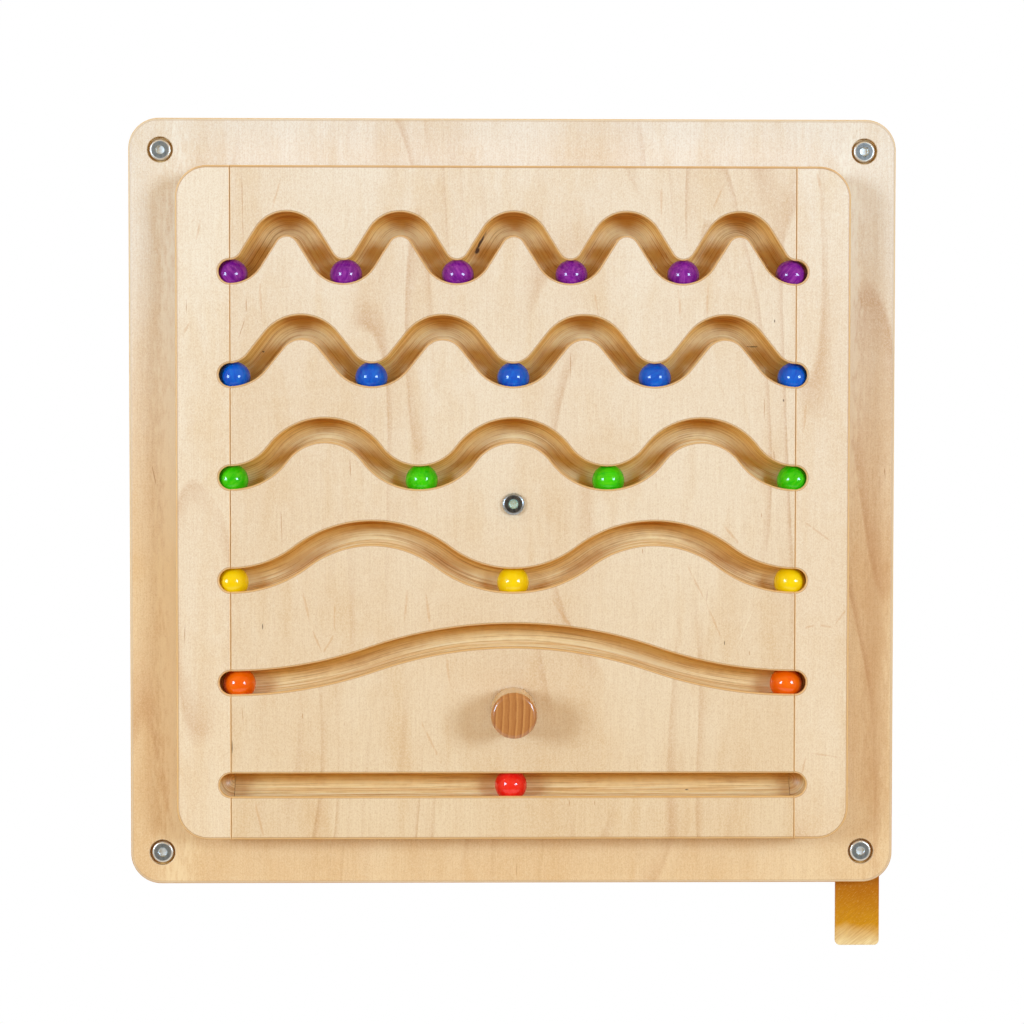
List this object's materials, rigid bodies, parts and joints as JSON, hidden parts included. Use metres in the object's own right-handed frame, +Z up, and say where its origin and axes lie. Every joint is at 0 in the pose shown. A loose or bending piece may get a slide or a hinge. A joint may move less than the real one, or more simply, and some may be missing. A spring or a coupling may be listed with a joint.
{
  "type": "wall activity panel",
  "caption": "Square wooden wall panel whose front plate turns on a central bolt by a turned knob, with coloured balls rolling in undercut wavy and straight tracks.",
  "frame": {"origin": "the turning axis where it meets the wall: the middle of the board's back face", "axes": "+Y into the wall, so the front faces -Y; +X to the right as seen from the front; +Z up"},
  "size_m": [0.6, 0.1325, 0.653],
  "materials": {
    "birch_board": "clear satin varnish on birch plywood, sanded edges",
    "birch_panel": "clear satin varnish on birch plywood, plies showing in the channels",
    "birch_strip": "clear satin varnish on birch plywood",
    "beech_dowel": "plain beech",
    "knob_wood": "turned wood with a brown gloss varnish",
    "tab_yellow": "thin ply stained golden yellow, bare of any print",
    "steel_screw": "zinc-plated steel",
    "steel_bolt": "nickel-plated steel",
    "brass_bush": "turned brass",
    "nylon_disc": "white nylon",
    "purple_lacquer": "gloss lacquer on a wooden ball",
    "blue_lacquer": "gloss lacquer on a wooden ball",
    "green_lacquer": "gloss lacquer on a wooden ball",
    "yellow_lacquer": "gloss lacquer on a wooden ball",
    "orange_lacquer": "gloss lacquer on a wooden ball",
    "red_lacquer": "gloss lacquer on a wooden ball"
  },
  "bodies": {
    "wall_board": {"base_panel": "birch_board", "glide_disc": "nylon_disc", "pivot_bolt": "steel_bolt", "pivot_washer": "steel_bolt", "pivot_nut": "steel_bolt", "label_tab": "tab_yellow", "wall_screw_top_left": "steel_screw", "wall_screw_top_right": "steel_screw", "wall_screw_bottom_left": "steel_screw", "wall_screw_bottom_right": "steel_screw"},
    "turning_plate": {"track_panel": "birch_panel", "left_strip": "birch_strip", "right_strip": "birch_strip", "strip_dowel_left_1": "beech_dowel", "strip_dowel_left_2": "beech_dowel", "strip_dowel_left_3": "beech_dowel", "strip_dowel_right_1": "beech_dowel", "strip_dowel_right_2": "beech_dowel", "strip_dowel_right_3": "beech_dowel", "pivot_bush": "brass_bush", "knob": "knob_wood", "knob_screw": "steel_screw"},
    "purple_ball_1": {"purple_ball_1": "purple_lacquer"},
    "purple_ball_2": {"purple_ball_2": "purple_lacquer"},
    "purple_ball_3": {"purple_ball_3": "purple_lacquer"},
    "purple_ball_4": {"purple_ball_4": "purple_lacquer"},
    "purple_ball_5": {"purple_ball_5": "purple_lacquer"},
    "purple_ball_6": {"purple_ball_6": "purple_lacquer"},
    "blue_ball_1": {"blue_ball_1": "blue_lacquer"},
    "blue_ball_2": {"blue_ball_2": "blue_lacquer"},
    "blue_ball_3": {"blue_ball_3": "blue_lacquer"},
    "blue_ball_4": {"blue_ball_4": "blue_lacquer"},
    "blue_ball_5": {"blue_ball_5": "blue_lacquer"},
    "green_ball_1": {"green_ball_1": "green_lacquer"},
    "green_ball_2": {"green_ball_2": "green_lacquer"},
    "green_ball_3": {"green_ball_3": "green_lacquer"},
    "green_ball_4": {"green_ball_4": "green_lacquer"},
    "yellow_ball_1": {"yellow_ball_1": "yellow_lacquer"},
    "yellow_ball_2": {"yellow_ball_2": "yellow_lacquer"},
    "yellow_ball_3": {"yellow_ball_3": "yellow_lacquer"},
    "orange_ball_1": {"orange_ball_1": "orange_lacquer"},
    "orange_ball_2": {"orange_ball_2": "orange_lacquer"},
    "red_ball_1": {"red_ball_1": "red_lacquer"}
  },
  "joints": [
    {"name": "plate_turn", "type": "hinge", "parent": "wall_board", "child": "turning_plate", "pos_m": [0, 0, 0], "axis": [0, -1, 0], "continuous": true},
    {"name": "purple_ball_1_roll", "type": "hinge", "parent": "turning_plate", "child": "purple_ball_1", "pos_m": [-0.217, -0.04026, 0.1963], "axis": [0, -1, 0], "range_deg": [0, 56.96]},
    {"name": "purple_ball_2_roll", "type": "hinge", "parent": "turning_plate", "child": "purple_ball_2", "pos_m": [-0.1302, -0.04026, 0.1963], "axis": [0, -1, 0], "range_deg": [-60.75, 53.16]},
    {"name": "purple_ball_3_roll", "type": "hinge", "parent": "turning_plate", "child": "purple_ball_3", "pos_m": [-0.0434, -0.04026, 0.1963], "axis": [0, -1, 0], "range_deg": [-58.42, 55.5]},
    {"name": "purple_ball_4_roll", "type": "hinge", "parent": "turning_plate", "child": "purple_ball_4", "pos_m": [0.0434, -0.04026, 0.1963], "axis": [0, -1, 0], "range_deg": [-61.34, 52.57]},
    {"name": "purple_ball_5_roll", "type": "hinge", "parent": "turning_plate", "child": "purple_ball_5", "pos_m": [0.1302, -0.04026, 0.1963], "axis": [0, -1, 0], "range_deg": [-60.17, 53.74]},
    {"name": "purple_ball_6_roll", "type": "hinge", "parent": "turning_plate", "child": "purple_ball_6", "pos_m": [0.217, -0.04026, 0.1963], "axis": [0, -1, 0], "range_deg": [-51.11, 5.85]},
    {"name": "blue_ball_1_roll", "type": "hinge", "parent": "turning_plate", "child": "blue_ball_1", "pos_m": [-0.217, -0.04026, 0.1249], "axis": [0, -1, 0], "range_deg": [-3.8, 46.58]},
    {"name": "blue_ball_2_roll", "type": "hinge", "parent": "turning_plate", "child": "blue_ball_2", "pos_m": [-0.1085, -0.04026, 0.1249], "axis": [0, -1, 0], "range_deg": [-48.27, 52.5]},
    {"name": "blue_ball_3_roll", "type": "hinge", "parent": "turning_plate", "child": "blue_ball_3", "pos_m": [0, -0.04026, 0.1249], "axis": [0, -1, 0], "range_deg": [-50.39, 50.39]},
    {"name": "blue_ball_4_roll", "type": "hinge", "parent": "turning_plate", "child": "blue_ball_4", "pos_m": [0.1085, -0.04026, 0.1249], "axis": [0, -1, 0], "range_deg": [-52.5, 48.27]},
    {"name": "blue_ball_5_roll", "type": "hinge", "parent": "turning_plate", "child": "blue_ball_5", "pos_m": [0.217, -0.04026, 0.1249], "axis": [0, -1, 0], "range_deg": [-50.39, 0]},
    {"name": "green_ball_1_roll", "type": "hinge", "parent": "turning_plate", "child": "green_ball_1", "pos_m": [-0.217, -0.04026, 0.06489], "axis": [0, -1, 0], "range_deg": [0, 52.68]},
    {"name": "green_ball_2_roll", "type": "hinge", "parent": "turning_plate", "child": "green_ball_2", "pos_m": [-0.07233, -0.04026, 0.06489], "axis": [0, -1, 0], "range_deg": [-54.67, 50.69]},
    {"name": "green_ball_3_roll", "type": "hinge", "parent": "turning_plate", "child": "green_ball_3", "pos_m": [0.07233, -0.04026, 0.06489], "axis": [0, -1, 0], "range_deg": [-54.3, 51.06]},
    {"name": "green_ball_4_roll", "type": "hinge", "parent": "turning_plate", "child": "green_ball_4", "pos_m": [0.217, -0.04026, 0.06489], "axis": [0, -1, 0], "range_deg": [-52.68, 0]},
    {"name": "yellow_ball_1_roll", "type": "hinge", "parent": "turning_plate", "child": "yellow_ball_1", "pos_m": [-0.217, -0.04026, 0.03066], "axis": [0, -1, 0], "range_deg": [0, 36.28]},
    {"name": "yellow_ball_2_roll", "type": "hinge", "parent": "turning_plate", "child": "yellow_ball_2", "pos_m": [0, -0.04026, 0.03066], "axis": [0, -1, 0], "range_deg": [-36.28, 36.28]},
    {"name": "yellow_ball_3_roll", "type": "hinge", "parent": "turning_plate", "child": "yellow_ball_3", "pos_m": [0.217, -0.04026, 0.03066], "axis": [0, -1, 0], "range_deg": [-35.02, 1.26]},
    {"name": "orange_ball_1_roll", "type": "hinge", "parent": "turning_plate", "child": "orange_ball_1", "pos_m": [-0.217, -0.04026, 0.193], "axis": [0, -1, 0], "range_deg": [-0.92, 17.23]},
    {"name": "orange_ball_2_roll", "type": "hinge", "parent": "turning_plate", "child": "orange_ball_2", "pos_m": [0.217, -0.04026, 0.193], "axis": [0, -1, 0], "range_deg": [-17.3, 0.85]},
    {"name": "red_ball_1_roll", "type": "slide", "parent": "turning_plate", "child": "red_ball_1", "axis": [1, 0, 0], "range_m": [-0.2154, 0.2186]}
  ]
}
